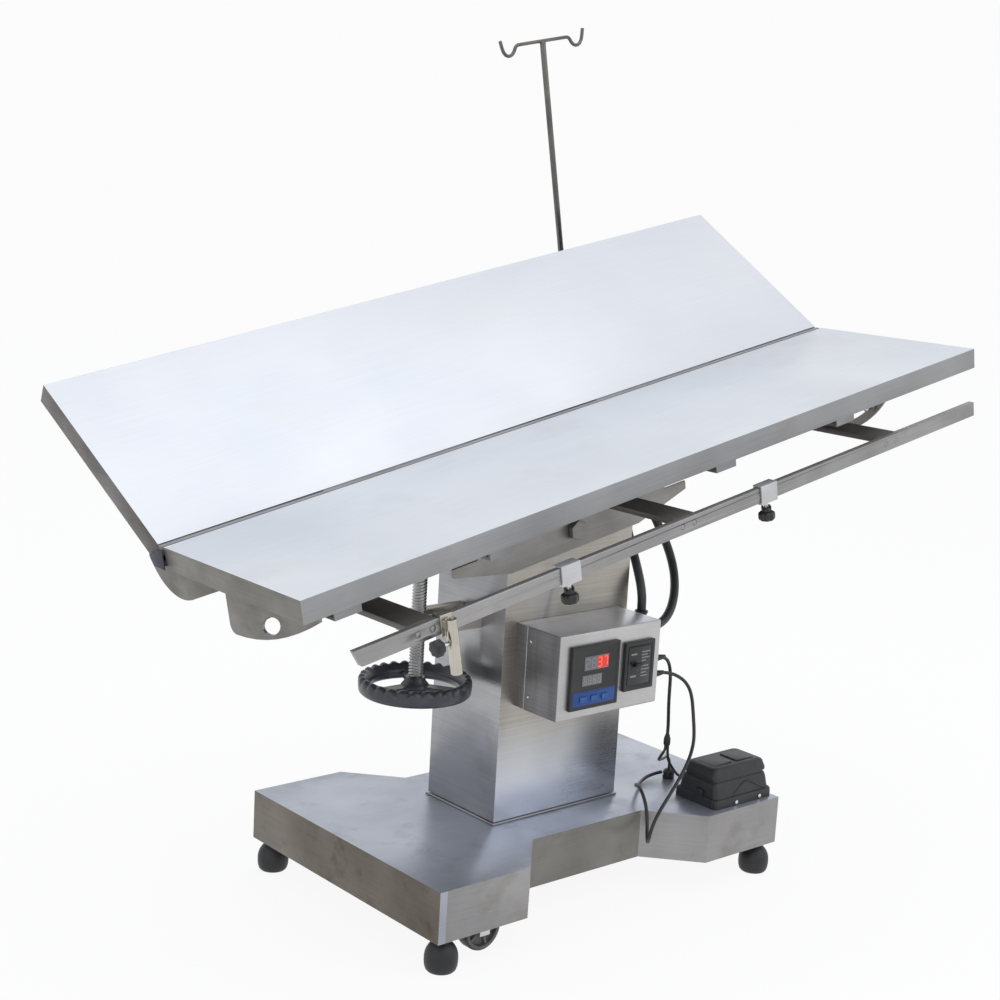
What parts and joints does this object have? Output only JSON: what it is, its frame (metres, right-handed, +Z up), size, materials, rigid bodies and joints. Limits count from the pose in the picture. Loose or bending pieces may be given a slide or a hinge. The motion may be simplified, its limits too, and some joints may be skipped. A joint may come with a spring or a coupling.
{
  "type": "veterinary operating table",
  "caption": "Stainless veterinary operating table with an H base, lifting column, hand-cranked tilt, folding V top, side rails, drip pole, heater control box and foot switch.",
  "frame": {"origin": "on the floor under the middle of the table's bounding box, cables and hoses left out", "axes": "+X along the top from the handwheel end to the drip pole end, -Y the side with the control box and foot switch, +Z up"},
  "size_m": [1.3828, 0.746, 1.3337],
  "materials": {
    "pale_steel": "satin",
    "brushed_steel": "satin",
    "base_steel": "satin",
    "shaded_steel": "satin",
    "bright_steel": "polished",
    "board_grey": "matte",
    "black_plastic": "satin",
    "black_rubber": "matte",
    "wheel_grey": "matte",
    "hose_grey": "matte",
    "key_blue": "satin"
  },
  "bodies": {
    "base": {"base_shell": "base_steel", "foot_1": "black_rubber", "foot_2": "black_rubber", "foot_3": "black_rubber", "foot_4": "black_rubber", "caster_bracket_front": "bright_steel", "caster_bracket_back": "bright_steel", "inner_sleeve": "brushed_steel", "actuator_body": "shaded_steel", "base_gland": "black_plastic", "pedal_housing": "black_plastic", "cable_joiner": "black_rubber", "lift_cable": "black_rubber", "gland_cable": "black_rubber", "pedal_cable": "black_rubber", "supply_cable": "black_rubber"},
    "caster_front": {"caster_wheel_front": "wheel_grey"},
    "caster_back": {"caster_wheel_back": "wheel_grey"},
    "pedal": {"pedal_plate": "black_plastic"},
    "lift": {"outer_sleeve": "brushed_steel", "actuator_rod": "bright_steel", "pivot_head": "shaded_steel", "control_box": "brushed_steel", "front_panel": "brushed_steel", "temperature_controller": "black_plastic", "breaker": "black_plastic", "front_heater_hose": "hose_grey", "back_heater_hose": "hose_grey"},
    "toggle": {"breaker_toggle": "black_plastic"},
    "key_left": {"key_1": "key_blue"},
    "key_mid": {"key_2": "key_blue"},
    "key_right": {"key_3": "key_blue"},
    "top": {"pivot_pin": "shaded_steel", "saddle": "brushed_steel", "backbone": "shaded_steel", "spine": "brushed_steel", "front_rail": "brushed_steel", "rail_arm_left": "shaded_steel", "rail_arm_mid": "shaded_steel", "rail_arm_right": "shaded_steel", "back_rail": "shaded_steel"},
    "front_wing": {"front_wing": "pale_steel", "front_heater_board": "board_grey"},
    "back_wing": {"back_wing": "pale_steel", "back_heater_board": "board_grey"},
    "front_lock": {"front_wing_lock": "bright_steel"},
    "back_lock": {"back_wing_lock": "bright_steel"},
    "rail_clamp_left": {"rail_clamp_1": "bright_steel"},
    "rail_clamp_right": {"rail_clamp_2": "bright_steel"},
    "clamp_knob_left": {"clamp_knob_1": "black_plastic"},
    "clamp_knob_right": {"clamp_knob_2": "black_plastic"},
    "pole_clamp_front": {"pole_clamp_front": "bright_steel"},
    "pole_clamp_back": {"pole_clamp_back": "bright_steel"},
    "pole_knob_front": {"pole_knob_front": "black_plastic"},
    "pole_knob_back": {"pole_knob_back": "black_plastic"},
    "drip_pole": {"iv_pole": "bright_steel"},
    "yoke": {"screw_yoke": "shaded_steel"},
    "screw": {"tilt_screw": "bright_steel", "handwheel": "black_plastic"},
    "nut": {"tilt_nut": "shaded_steel"}
  },
  "joints": [
    {"name": "caster_front_spin", "type": "hinge", "parent": "base", "child": "caster_front", "pos_m": [-0.25209, -0.201, 0.042], "axis": [0, 1, 0], "continuous": true},
    {"name": "caster_back_spin", "type": "hinge", "parent": "base", "child": "caster_back", "pos_m": [-0.25209, 0.201, 0.042], "axis": [0, 1, 0], "continuous": true},
    {"name": "pedal_rock", "type": "hinge", "parent": "base", "child": "pedal", "pos_m": [0.27191, -0.175, 0.162], "axis": [0, 1, 0], "range_deg": [-3, 3], "stiffness_Nm_per_rad": 1.5},
    {"name": "lift_slide", "type": "slide", "parent": "base", "child": "lift", "axis": [0, 0, 1], "range_m": [0, 0.3]},
    {"name": "toggle_throw", "type": "hinge", "parent": "lift", "child": "toggle", "pos_m": [0.05451, -0.1759, 0.374], "axis": [1, 0, 0], "range_deg": [0, 36]},
    {"name": "key_left_press", "type": "slide", "parent": "lift", "child": "key_left", "axis": [0, 1, 0], "range_m": [0, 0.001], "stiffness_N_per_m": 300},
    {"name": "key_mid_press", "type": "slide", "parent": "lift", "child": "key_mid", "axis": [0, 1, 0], "range_m": [0, 0.001], "stiffness_N_per_m": 300},
    {"name": "key_right_press", "type": "slide", "parent": "lift", "child": "key_right", "axis": [0, 1, 0], "range_m": [0, 0.001], "stiffness_N_per_m": 300},
    {"name": "top_tilt", "type": "hinge", "parent": "lift", "child": "top", "pos_m": [-0.00309, 0, 0.568], "axis": [0, 1, 0], "range_deg": [-8.5, 15.5], "deforming": ["front_heater_hose", "back_heater_hose"]},
    {"name": "front_wing_fold", "type": "hinge", "parent": "top", "child": "front_wing", "pos_m": [-0.01818, -0.0056, 0.71739], "axis": [-0.9799, 0, -0.1994], "range_deg": [0, 40]},
    {"name": "back_wing_fold", "type": "hinge", "parent": "top", "child": "back_wing", "pos_m": [-0.01818, 0.0056, 0.71739], "axis": [0.9799, 0, 0.1994], "range_deg": [-35, 5]},
    {"name": "front_lock_turn", "type": "hinge", "parent": "top", "child": "front_lock", "pos_m": [0.00438, -0.11874, 0.60653], "axis": [0.9799, 0, 0.1994], "range_deg": [-180, 180]},
    {"name": "back_lock_turn", "type": "hinge", "parent": "top", "child": "back_lock", "pos_m": [0.00438, 0.11874, 0.60653], "axis": [0.9799, 0, 0.1994], "range_deg": [-180, 180]},
    {"name": "rail_clamp_left_slide", "type": "slide", "parent": "top", "child": "rail_clamp_left", "axis": [0.9799, 0, 0.1994], "range_m": [-0.037, 0.153]},
    {"name": "rail_clamp_right_slide", "type": "slide", "parent": "top", "child": "rail_clamp_right", "axis": [0.9799, 0, 0.1994], "range_m": [-0.118, 0.202]},
    {"name": "clamp_knob_left_turn", "type": "hinge", "parent": "rail_clamp_left", "child": "clamp_knob_left", "pos_m": [-0.27642, -0.345, 0.66751], "axis": [-0.1994, 0, 0.9799], "range_deg": [-180, 180]},
    {"name": "clamp_knob_right_turn", "type": "hinge", "parent": "rail_clamp_right", "child": "clamp_knob_right", "pos_m": [0.09693, -0.345, 0.74346], "axis": [-0.1994, 0, 0.9799], "range_deg": [-180, 180]},
    {"name": "pole_clamp_front_slide", "type": "slide", "parent": "top", "child": "pole_clamp_front", "axis": [0.9799, 0, 0.1994], "range_m": [0, 0.14]},
    {"name": "pole_clamp_back_slide", "type": "slide", "parent": "top", "child": "pole_clamp_back", "axis": [0.9799, 0, 0.1994], "range_m": [-0.035, 0.035]},
    {"name": "pole_knob_front_turn", "type": "hinge", "parent": "pole_clamp_front", "child": "pole_knob_front", "pos_m": [-0.45873, -0.362, 0.5253], "axis": [0.9799, 0, 0.1994], "range_deg": [-180, 180]},
    {"name": "pole_knob_back_turn", "type": "hinge", "parent": "pole_clamp_back", "child": "pole_knob_back", "pos_m": [0.39185, 0.362, 0.69836], "axis": [0.9799, 0, 0.1994], "range_deg": [-180, 180]},
    {"name": "drip_pole_slide", "type": "slide", "parent": "pole_clamp_back", "child": "drip_pole", "axis": [-0.1994, 0, 0.9799], "range_m": [-0.25, 0.04]},
    {"name": "yoke_swing", "type": "hinge", "parent": "top", "child": "yoke", "pos_m": [-0.2271, 0, 0.56906], "axis": [0, 1, 0], "range_deg": [-15.6, 8.6]},
    {"name": "screw_turn", "type": "hinge", "parent": "yoke", "child": "screw", "pos_m": [-0.2271, 0, 0.56906], "axis": [0, 0, 1], "range_deg": [-860, 1560]},
    {"name": "nut_travel", "type": "slide", "parent": "yoke", "child": "nut", "axis": [0, 0, 1], "range_m": [-0.061, 0.034]}
  ],
  "couplings": [
    {"joint": "yoke_swing", "follows": "top_tilt", "ratio": -1},
    {"joint": "screw_turn", "follows": "top_tilt", "ratio": 99.8},
    {"joint": "nut_travel", "follows": "top_tilt", "m_per_rad": -0.2224}
  ]
}
